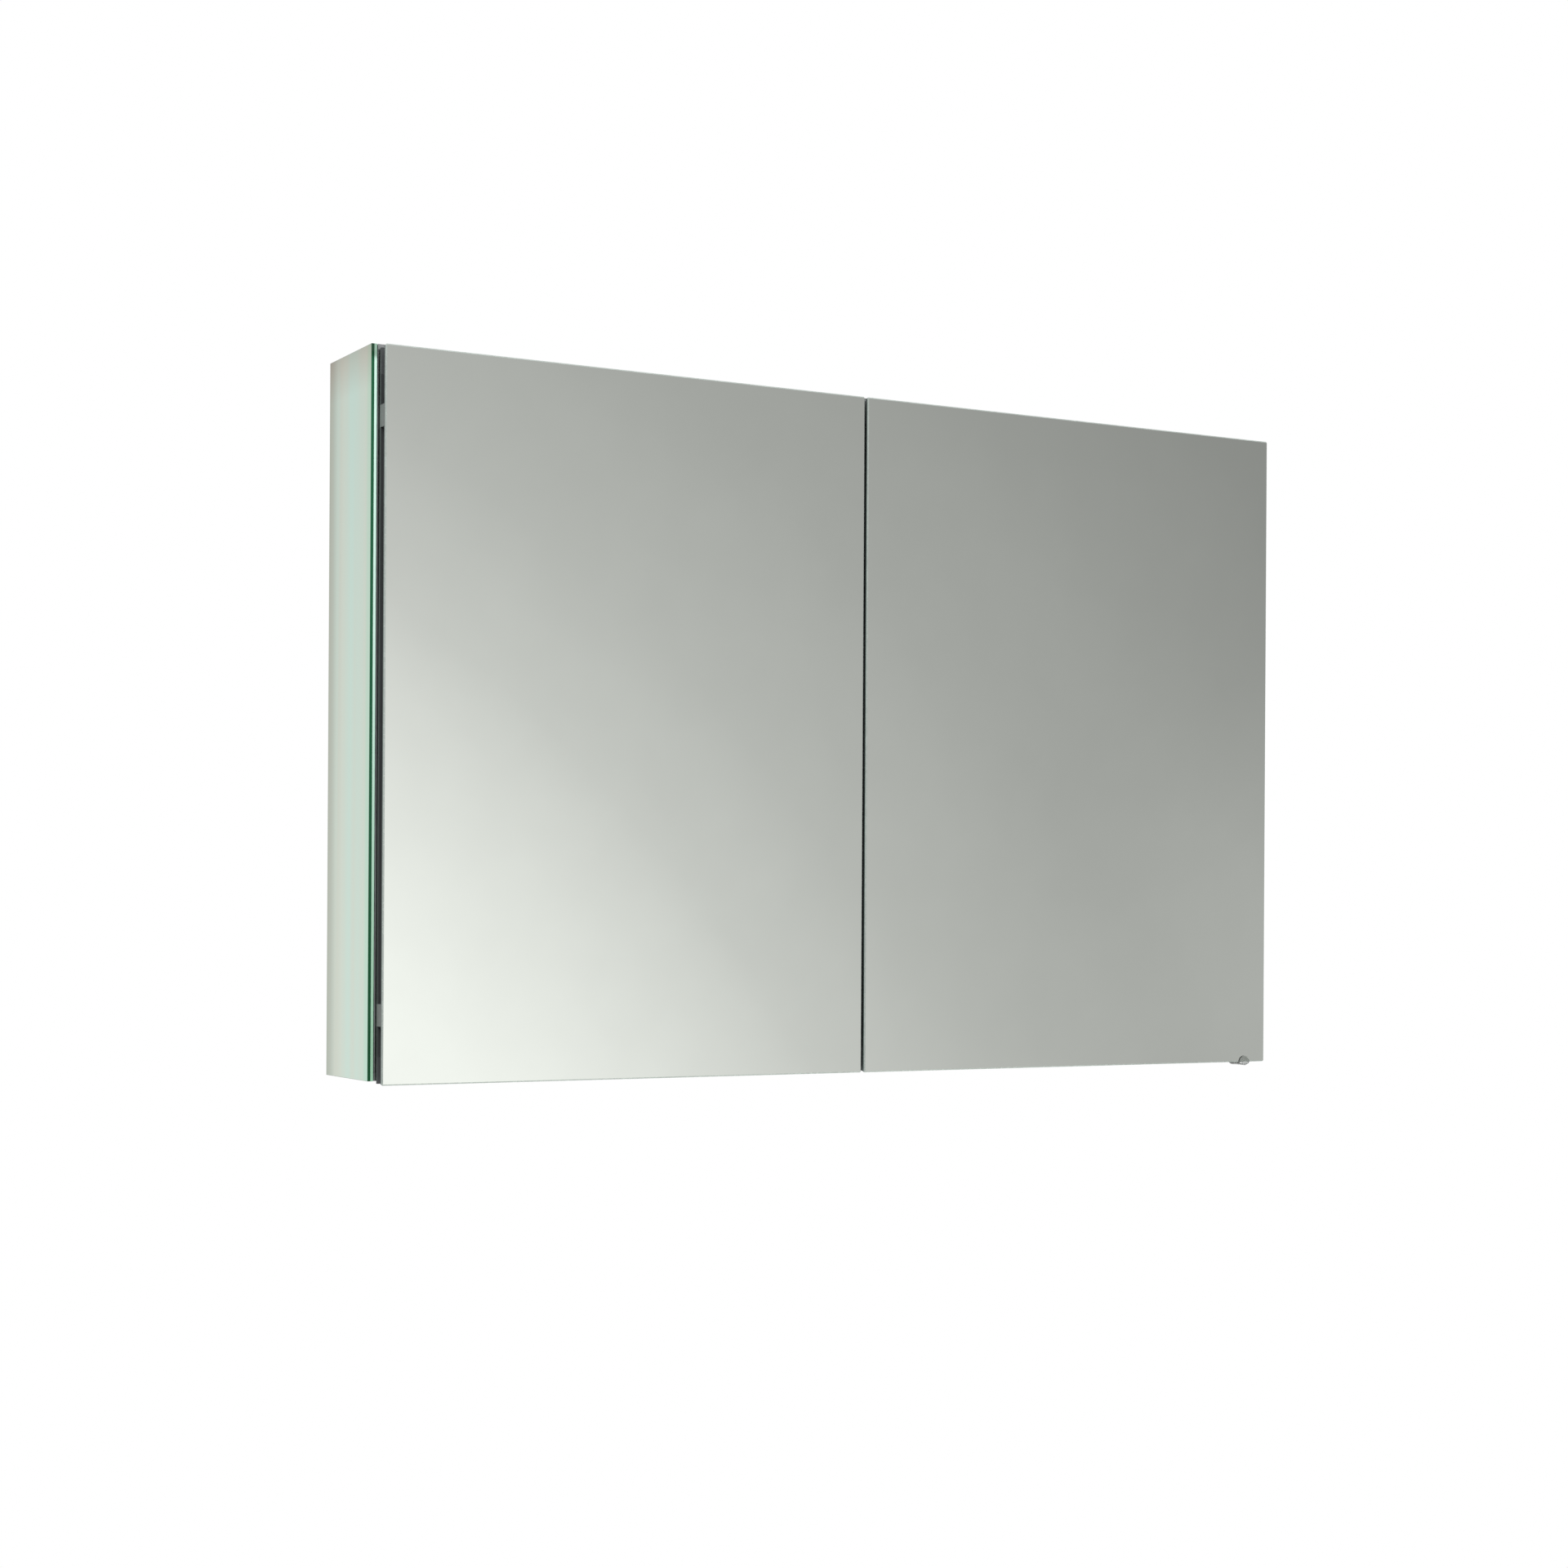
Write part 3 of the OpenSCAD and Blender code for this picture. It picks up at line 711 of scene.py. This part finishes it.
class CabinetMetal(bpy.types.PropertyGroup):
    """Edge radii of the metal and moulded parts."""

    panel_edge: FloatProperty(
        name="Panel edge", description="Edge radius of the case panels and rails",
        default=0.5 * MM, min=0.1 * MM, max=1.0 * MM, unit="LENGTH")
    frame_edge: FloatProperty(
        name="Frame edge", description="Edge radius of the door profiles and corner blocks",
        default=0.35 * MM, min=0.1 * MM, max=0.8 * MM, unit="LENGTH")
    hinge_edge: FloatProperty(
        name="Hinge edge", description="Edge radius of the hinge castings and pressings",
        default=0.3 * MM, min=0.1 * MM, max=0.6 * MM, unit="LENGTH")


class CabinetStage(bpy.types.PropertyGroup):
    """The floor, the light and the camera."""

    floor_colour: FloatVectorProperty(
        name="Floor", description="Colour of the floor", subtype="COLOR",
        default=linear("#f6f6f4"), min=0.0, max=1.0)
    floor_drop: FloatProperty(
        name="Floor drop", description="Depth of the floor below the middle of the cabinet",
        default=1.3, min=0.5, max=3.0, unit="LENGTH")
    floor_radius: FloatProperty(
        name="Floor radius", description="Radius at which the floor has faded out",
        default=1.7, min=1.0, max=5.0, unit="LENGTH")
    lens: FloatProperty(
        name="Lens", description="Focal length of the camera, in millimetres",
        default=62.955, min=20.0, max=200.0)
    rise: FloatProperty(
        name="Rise", description="Upward shift of the camera's picture, as a share of its width",
        default=0.08, min=0.0, max=0.5)
    camera_place: FloatVectorProperty(
        name="Camera", description="Place of the camera", subtype="TRANSLATION",
        default=(-1.3699, -2.4164, -0.1709), unit="LENGTH")
    camera_turn: FloatVectorProperty(
        name="Camera turn", description="Pitch, roll and turn of the camera", subtype="EULER",
        default=(math.radians(89.979), math.radians(-0.329), math.radians(-29.227)),
        unit="ROTATION")


# ---- pieces ----


class CABINET_OT_door_mirrors(bpy.types.Operator):
    """Adds the front and back mirrors of both doors"""

    bl_idname = "cabinet.door_mirrors"
    bl_label = "Door mirrors"

    def execute(self, context):
        glass = context.scene.cabinet_glass
        for side in SIDES:
            for face, arris, silver_side in (("front", glass.front_arris, FORWARD),
                                             ("back", glass.back_arris, -FORWARD)):
                node = f"{side}_door_{face}_mirror"
                bm = slab(*span(node), arris / MM)
                face_mirror(bm, silver_side)
                place_piece(bm, f"{side}_{face}_glass", f"{side}_door",
                            [node], MIRROR_FINISHES, rounded=False)
        return {"FINISHED"}


class CABINET_OT_side_mirrors(bpy.types.Operator):
    """Adds the mirrors on the case's sides and the tape behind them"""

    bl_idname = "cabinet.side_mirrors"
    bl_label = "Side mirrors"

    def execute(self, context):
        glass = context.scene.cabinet_glass
        for side, sign in SIDES.items():
            node = f"{side}_side_mirror"
            bm = slab(*span(node), glass.side_arris / MM)
            face_mirror(bm, Vector((sign, 0, 0)))
            place_piece(bm, f"{side}_side_glass", "case", [node],
                        SIDE_MIRROR_FINISHES, rounded=False)
            node = f"{side}_mirror_tape"
            bm = from_cad(node, 0.2, segments=1)
            place_piece(bm, f"{side}_foam_tape", "case", [node], (foam_strip,))
        return {"FINISHED"}


class CABINET_OT_inner_mirror(bpy.types.Operator):
    """Adds the mirror at the back of the shelves"""

    bl_idname = "cabinet.inner_mirror"
    bl_label = "Inner mirror"

    def execute(self, context):
        arris = context.scene.cabinet_glass.back_arris / MM
        bm = from_cad("inner_mirror", arris, segments=1, shortest=5)
        face_mirror(bm, FORWARD)
        place_piece(bm, "inner_glass", "case", ["inner_mirror"],
                    MIRROR_FINISHES, rounded=False)
        return {"FINISHED"}


class CABINET_OT_door_frames(bpy.types.Operator):
    """Adds the aluminium profiles and the corner blocks of both doors"""

    bl_idname = "cabinet.door_frames"
    bl_label = "Door frames"

    def execute(self, context):
        edge = context.scene.cabinet_metal.frame_edge / MM
        for side in SIDES:
            for part, maker in (("hinge_stile", shade_painted_aluminium),
                                ("lock_stile", shade_painted_aluminium),
                                ("top_rail", shade_painted_aluminium_level),
                                ("bottom_rail", shade_painted_aluminium_level)):
                node = f"{side}_door_{part}"
                place_piece(from_cad(node, edge), f"{side}_{part}_profile", f"{side}_door",
                            [node], (maker,))
            node = f"{side}_door_corner_blocks"
            place_piece(from_cad(node, edge), f"{side}_corner_mouldings", f"{side}_door",
                        [node], (moulded_nylon,))
        return {"FINISHED"}


class CABINET_OT_case_panels(bpy.types.Operator):
    """Adds the hollow aluminium panels of the case"""

    bl_idname = "cabinet.case_panels"
    bl_label = "Case panels"

    def execute(self, context):
        edge = context.scene.cabinet_metal.panel_edge / MM
        for node, maker in (("top_panel", satin_aluminium_level),
                            ("bottom_panel", satin_aluminium_level),
                            ("left_side_panel", satin_aluminium),
                            ("right_side_panel", satin_aluminium)):
            place_piece(from_cad(node, edge, shortest=5), f"{node}_profile", "case",
                        [node], (maker,))
        return {"FINISHED"}


class CABINET_OT_back(bpy.types.Operator):
    """Adds the back sheet, the mounting rails, their rivets and the wall-screw bushes"""

    bl_idname = "cabinet.back"
    bl_label = "Back"

    def execute(self, context):
        edge = context.scene.cabinet_metal.panel_edge / MM
        place_piece(from_cad("back_sheet", 0.2, segments=1, shortest=5), "back_steel_sheet",
                    "case", ["back_sheet"], (galvanised_sheet,))
        for level in LEVELS:
            node = f"{level}_mount_rail"
            place_piece(from_cad(node, edge, shortest=5), f"{node}_profile", "case",
                        [node], (satin_aluminium_level,))
        dress("back_rivets", zinc_plated_steel)
        self.bushes()
        return {"FINISHED"}

    def bushes(self):
        """Adds the four flanged bushes, countersunk for the wall screws."""
        low, high = span("mount_bushes")
        flange_r = 10.0
        flange_t = 1.2
        body_r = 7.0
        bore_r = 3.0
        sink_r = 5.0
        lead = 0.5
        length = high.y - low.y
        profile = [
            (sink_r, length),
            (flange_r - lead, length),
            (flange_r, length - lead),
            (flange_r, length - flange_t),
            (body_r, length - flange_t),
            (body_r, lead),
            (body_r - lead, 0),
            (bore_r, 0),
            (bore_r, length - (sink_r - bore_r)),
        ]
        spots = [
            pointing(FORWARD, (x, high.y, z))
            for x in (low.x + flange_r, high.x - flange_r)
            for z in (low.z + flange_r, high.z - flange_r)
        ]
        place_piece(gather(turned(profile, ring=True), spots), "wall_screw_bushes", "case",
                    ["mount_bushes"], (moulded_white,))


class CABINET_OT_shelves(bpy.types.Operator):
    """Adds the glass shelves and the pins that carry them"""

    bl_idname = "cabinet.shelves"
    bl_label = "Shelves"

    def execute(self, context):
        arris = context.scene.cabinet_glass.shelf_arris / MM
        for level in LEVELS:
            node = f"{level}_shelf"
            bm = slab(*span(node), arris)
            for face in bm.faces:
                face.material_index = 0 if abs(face.normal.z) > 0.9 else 1
            place_piece(bm, f"{level}_shelf_glass", "case", [node],
                        (tempered_glass, shelf_glass_edge), rounded=False)
            self.pins(level)
        return {"FINISHED"}

    def pins(self, level):
        """Adds one shelf's four pins, each with a flange cut level under the glass."""
        node = f"{level}_shelf_pins"
        low, high = span(node)
        pin_r = 2.5
        flange_r = 4.5
        flange_t = 1.2
        lead = 0.3
        sunk = 7.9
        out = 8.0
        middle_z = high.z - pin_r
        profile = [
            (0, -sunk),
            (pin_r - lead, -sunk),
            (pin_r, -sunk + lead),
            (pin_r, 0),
            (flange_r - lead, 0),
            (flange_r, lead),
            (flange_r, flange_t - lead),
            (flange_r - lead, flange_t),
            (pin_r, flange_t),
            (pin_r, out - 2 * lead),
            (pin_r - 2 * lead, out),
            (0, out),
        ]
        spots = [
            pointing((-sign, 0, 0), (sign * (high.x - sunk), y, middle_z))
            for sign in SIDES.values()
            for y in (low.y + flange_r, high.y - flange_r)
        ]
        bm = gather(turned(profile), spots)
        bmesh.ops.bisect_plane(bm, geom=bm.verts[:] + bm.edges[:] + bm.faces[:],
                               plane_co=(0, 0, high.z), plane_no=UP, clear_outer=True)
        bmesh.ops.holes_fill(bm, edges=[e for e in bm.edges if e.is_boundary])
        place_piece(bm, f"{level}_turned_pins", "case", [node],
                    (zinc_plated_steel,))


class CABINET_OT_hinges(bpy.types.Operator):
    """Adds the hinge plates and arms on the case and the hinge boxes in the doors"""

    bl_idname = "cabinet.hinges"
    bl_label = "Hinges"

    def execute(self, context):
        edge = context.scene.cabinet_metal.hinge_edge / MM
        for side in SIDES:
            for level in LEVELS:
                name = f"{side}_{level}_hinge"
                place_piece(from_cad(f"{name}_plate", edge), f"{name}_base", "case",
                            [f"{name}_plate"], (cast_zinc,))
                place_piece(from_cad(f"{name}_arm", edge), f"{name}_pressing", "case",
                            [f"{name}_arm"], (pressed_steel,))
                place_piece(from_cad(f"{name}_box", edge), f"{name}_cup", f"{side}_door",
                            [f"{name}_box"], (blasted_zinc,))
            dress(f"{side}_hinge_pins", zinc_plated_steel)
        return {"FINISHED"}


class CABINET_OT_screws(bpy.types.Operator):
    """Adds the screws of the case, the hinge plates, the arms and the hinge boxes"""

    bl_idname = "cabinet.screws"
    bl_label = "Screws"

    def execute(self, context):
        self.case_screws()
        self.plate_screws()
        self.box_screws()
        return {"FINISHED"}

    def case_screws(self):
        """Adds the flat-headed screws that hold the case together."""
        low, high = span("case_screws")
        head_r = 3.1
        head_t = 1.4
        shank_r = 1.6
        whole_length = 26.0
        panel_mid = 6.0
        middle_y = -53.5
        back_y = -10.0
        rail_y = -5.5
        rail_z = 280.0
        spots = []
        for sign in SIDES.values():
            x = sign * (high.x - panel_mid)
            for y in (low.y + head_r, middle_y, back_y):
                spots.append(pointing(UP, (x, y, high.z - head_t)))
                spots.append(pointing(-UP, (x, y, low.z + head_t)))
            for z in (-rail_z, rail_z):
                spots.append(pointing((sign, 0, 0), (sign * (high.x - head_t), rail_y, z)))
        pattern = cross_screw(head_r, head_t, shank_r, whole_length - head_t, domed=False)
        place_piece(gather(pattern, spots), "case_cross_screws", "case",
                    ["case_screws"], (zinc_plated_steel,))

    def plate_screws(self):
        """Adds the screws that hold the hinge plates and set the arms."""
        head_r = 3.4
        head_t = 1.6
        shank_r = 1.9
        for node, name, length in (("hinge_plate_screws", "plate_cross_screws", 12.0),
                                   ("hinge_adjust_screws", "arm_cross_screws", 9.0)):
            low, high = span(node)
            head_x = high.x - length
            spots = []
            for sign in SIDES.values():
                for y, z in self.heads(node, low.y + head_r, high.y - head_r):
                    spots.append(pointing((-sign, 0, 0), (sign * head_x, y, z)))
            pattern = cross_screw(head_r, head_t, shank_r, length)
            place_piece(gather(pattern, spots), name, "case", [node],
                        (zinc_plated_steel,))

    def heads(self, node, front_y, back_y):
        """Where a set of hinge screws stands, as pairs of y and z."""
        half_pitch = 16.0
        if node == "hinge_plate_screws":
            return [(front_y, z + s * half_pitch) for z in HINGE_ZS for s in (-1, 1)]
        return [(y, z) for z in HINGE_ZS for y in (front_y, back_y)]

    def box_screws(self):
        """Adds the dark screws of the hinge boxes, from the back and in the groove."""
        away = 14.5
        shank_r = 1.6
        back_x = 475.5
        back_head_r = 2.8
        back_head_t = 0.8
        back_length = 3.2
        groove_x = 491.5
        groove_y = -116.5
        groove_head_r = 2.6
        groove_head_t = 1.2
        groove_length = 2.0
        for side, sign in SIDES.items():
            node = f"{side}_hinge_box_screws"
            back_y = span(node)[1].y - back_head_t
            heights = [z + s * away for z in HINGE_ZS for s in (-1, 1)]
            back = gather(
                cross_screw(back_head_r, back_head_t, shank_r, back_length),
                [pointing(-FORWARD, (sign * back_x, back_y, z)) for z in heights])
            groove = gather(
                cross_screw(groove_head_r, groove_head_t, shank_r, groove_length),
                [pointing((sign, 0, 0), (sign * groove_x, groove_y, z)) for z in heights])
            place_piece(join(back, groove), f"{side}_cup_screws", f"{side}_door",
                        [node], (blackened_steel,))


class CABINET_OT_small_parts(bpy.types.Operator):
    """Adds the soft door stops and the clear clip on the right door's lower edge"""

    bl_idname = "cabinet.small_parts"
    bl_label = "Stops and clip"

    def execute(self, context):
        low, high = span("door_bumpers")
        radius = 4.0
        height = high.y - low.y
        profile = [
            (0, 0),
            (radius * 0.97, 0),
            (radius, height * 0.12),
            (radius * 0.97, height * 0.4),
            (radius * 0.84, height * 0.68),
            (radius * 0.6, height * 0.88),
            (radius * 0.3, height * 0.97),
            (0, height),
        ]
        spots = [
            pointing(FORWARD, (x, high.y, z))
            for x in (low.x + radius, high.x - radius)
            for z in (low.z + radius, high.z - radius)
        ]
        place_piece(gather(turned(profile), spots), "soft_door_stops", "case",
                    ["door_bumpers"], (moulded_clear,))
        place_piece(from_cad("door_edge_clip", 0.25), "clear_edge_clip", "right_door",
                    ["door_edge_clip"], (moulded_clear,))
        return {"FINISHED"}


class CABINET_OT_stage(bpy.types.Operator):
    """Adds the pale floor, the soft studio light and the camera"""

    bl_idname = "cabinet.stage"
    bl_label = "Stage"

    def execute(self, context):
        stage = context.scene.cabinet_stage
        self.floor(stage)
        self.sky()
        self.lamps()
        self.camera(context.scene, stage)
        context.scene.view_settings.view_transform = "Standard"
        return {"FINISHED"}

    def floor(self, stage):
        """A round pale floor that fades out towards its rim."""
        plain_share = 0.4
        made, tree = new_tree("pale_floor")
        where = add(tree, "ShaderNodeTexCoord")
        centred = add(tree, "ShaderNodeMapping", {
            "Vector": where.outputs["Object"],
            "Location": (0, 0, stage.floor_drop),
        })
        distance = add(tree, "ShaderNodeVectorMath", {0: centred.outputs["Vector"]},
                       operation="LENGTH")
        fade = add(tree, "ShaderNodeMapRange", {
            "Value": distance.outputs["Value"],
            "From Min": stage.floor_radius * plain_share,
            "From Max": stage.floor_radius,
            "To Min": 1.0,
            "To Max": 0.0,
        }, interpolation_type="SMOOTHERSTEP")
        close_tree(tree, {
            "Base Color": (*stage.floor_colour, 1.0),
            "Roughness": 0.8,
            "Alpha": fade.outputs["Result"],
        })
        bm = bmesh.new()
        bmesh.ops.create_circle(bm, cap_ends=True, radius=stage.floor_radius, segments=96)
        bmesh.ops.translate(bm, vec=(0, 0, -stage.floor_drop), verts=bm.verts)
        mesh = bpy.data.meshes.new("floor")
        bm.to_mesh(mesh)
        bm.free()
        mesh.materials.append(made)
        floor = bpy.data.objects.new("floor", mesh)
        bpy.context.scene.collection.objects.link(floor)

    def sky(self):
        """A white backdrop that glass and metal see as one large light fading to grey.

        The greys are set by their angle in degrees from the light's middle, and a faint patch
        of light stands to its right. What is seen directly, or through clear parts alone, is
        plain white.
        """
        middle = (4, -17)
        patch_middle = (42, -1)
        patch_radius = math.radians(8)
        patch_light = 0.1
        world = bpy.data.worlds.new("soft_studio")
        bpy.context.scene.world = world
        world.use_nodes = True
        tree = world.node_tree
        tree.nodes.clear()
        greys = [(0, 1.04), (22, 1.01), (28, 0.69), (31, 0.54), (35, 0.43), (39, 0.36), (43, 0.29),
                 (56, 0.24), (80, 0.5), (112, 0.62), (152, 0.9), (168, 0.74), (180, 0.6)]
        where = add(tree, "ShaderNodeTexCoord")
        share = add(tree, "ShaderNodeMath", {
            0: self.angle_from(tree, where.outputs["Generated"], *middle),
            1: math.pi,
        }, operation="DIVIDE")
        fall = add(tree, "ShaderNodeValToRGB", {"Fac": share.outputs["Value"]},
                   stops=[(degrees / 180, (grey, grey, grey)) for degrees, grey in greys])
        fall.color_ramp.interpolation = "CARDINAL"
        patch = add(tree, "ShaderNodeMapRange", {
            "Value": self.angle_from(tree, where.outputs["Generated"], *patch_middle),
            "From Min": 0.0,
            "From Max": patch_radius,
            "To Min": patch_light,
            "To Max": 0.0,
        }, interpolation_type="SMOOTHSTEP")
        light = add(tree, "ShaderNodeVectorMath",
                    {0: fall.outputs["Color"], 1: patch.outputs["Result"]}, operation="ADD")
        seen = add(tree, "ShaderNodeLightPath")
        through = add(tree, "ShaderNodeMath", {
            0: seen.outputs["Is Camera Ray"],
            1: seen.outputs["Is Transmission Ray"],
        }, operation="MAXIMUM")
        straight = add(tree, "ShaderNodeMath", {
            0: through.outputs["Value"],
            1: seen.outputs["Glossy Depth"],
        }, operation="GREATER_THAN")
        soft = add(tree, "ShaderNodeBackground", {"Color": light.outputs["Vector"]})
        white = add(tree, "ShaderNodeBackground", {"Color": (1, 1, 1, 1)})
        both = add(tree, "ShaderNodeMixShader", {
            0: straight.outputs["Value"],
            1: soft.outputs["Background"],
            2: white.outputs["Background"],
        })
        add(tree, "ShaderNodeOutputWorld", {"Surface": both.outputs["Shader"]})

    def angle_from(self, tree, direction, aside, up):
        """The angle in radians to a direction given in degrees right of the front and up."""
        aside = math.radians(aside)
        up = math.radians(up)
        middle = (math.sin(aside) * math.cos(up), -math.cos(aside) * math.cos(up), math.sin(up))
        towards = add(tree, "ShaderNodeVectorMath", {0: direction, 1: middle},
                      operation="DOT_PRODUCT")
        return add(tree, "ShaderNodeMath", {0: towards.outputs["Value"]},
                   operation="ARCCOSINE").outputs["Value"]

    def lamps(self):
        """Two large soft panels that don't show in mirrors or through glass."""
        side = 2.4
        for name, place, power in (("key_panel", (-1.6, -2.6, 2.4), 130.0),
                                   ("back_panel", (1.4, 2.6, 1.8), 45.0)):
            light = bpy.data.lights.new(name, "AREA")
            light.shape = "SQUARE"
            light.size = side
            light.energy = power
            lamp = bpy.data.objects.new(name, light)
            lamp.location = place
            lamp.rotation_euler = (-Vector(place)).to_track_quat("-Z", "Y").to_euler()
            lamp.visible_glossy = False
            lamp.visible_transmission = False
            lamp.visible_camera = False
            bpy.context.scene.collection.objects.link(lamp)

    def camera(self, scene, stage):
        """A level camera to the left of the cabinet."""
        data = bpy.data.cameras.new("camera")
        data.lens = stage.lens
        data.shift_y = stage.rise
        camera = bpy.data.objects.new("camera", data)
        camera.location = stage.camera_place
        camera.rotation_euler = stage.camera_turn
        scene.collection.objects.link(camera)
        scene.camera = camera


class CABINET_PT_panel(bpy.types.Panel):
    """Lists the cabinet's settings and pieces"""

    bl_idname = "CABINET_PT_panel"
    bl_label = "Mirrored wall cabinet"
    bl_space_type = "VIEW_3D"
    bl_region_type = "UI"
    bl_category = "Cabinet"

    def draw(self, context):
        layout = self.layout
        for group in [getattr(context.scene, name) for name in GROUPS]:
            column = layout.column(align=True)
            for key in group.bl_rna.properties.keys():
                if key not in ("rna_type", "name"):
                    column.prop(group, key)
        column = layout.column(align=True)
        for operator in OPERATORS:
            column.operator(operator.bl_idname)


GROUPS = {
    "cabinet_colours": CabinetColours,
    "cabinet_glass": CabinetGlass,
    "cabinet_metal": CabinetMetal,
    "cabinet_stage": CabinetStage,
}
OPERATORS = (
    CABINET_OT_stage,
    CABINET_OT_door_mirrors,
    CABINET_OT_side_mirrors,
    CABINET_OT_inner_mirror,
    CABINET_OT_door_frames,
    CABINET_OT_case_panels,
    CABINET_OT_back,
    CABINET_OT_shelves,
    CABINET_OT_hinges,
    CABINET_OT_screws,
    CABINET_OT_small_parts,
)


def register():
    """Registers the settings, the operators and the panel."""
    for made in (*GROUPS.values(), *OPERATORS, CABINET_PT_panel):
        bpy.utils.register_class(made)
    for name, group in GROUPS.items():
        setattr(bpy.types.Scene, name, PointerProperty(type=group))


def unregister():
    """Takes the panel, the operators and the settings away again."""
    for name in GROUPS:
        delattr(bpy.types.Scene, name)
    for made in reversed((*GROUPS.values(), *OPERATORS, CABINET_PT_panel)):
        bpy.utils.unregister_class(made)


def main():
    """Builds every piece and the stage."""
    register()
    for operator in OPERATORS:
        group, call = operator.bl_idname.split(".")
        getattr(getattr(bpy.ops, group), call)()


if __name__ == "__main__":
    main()
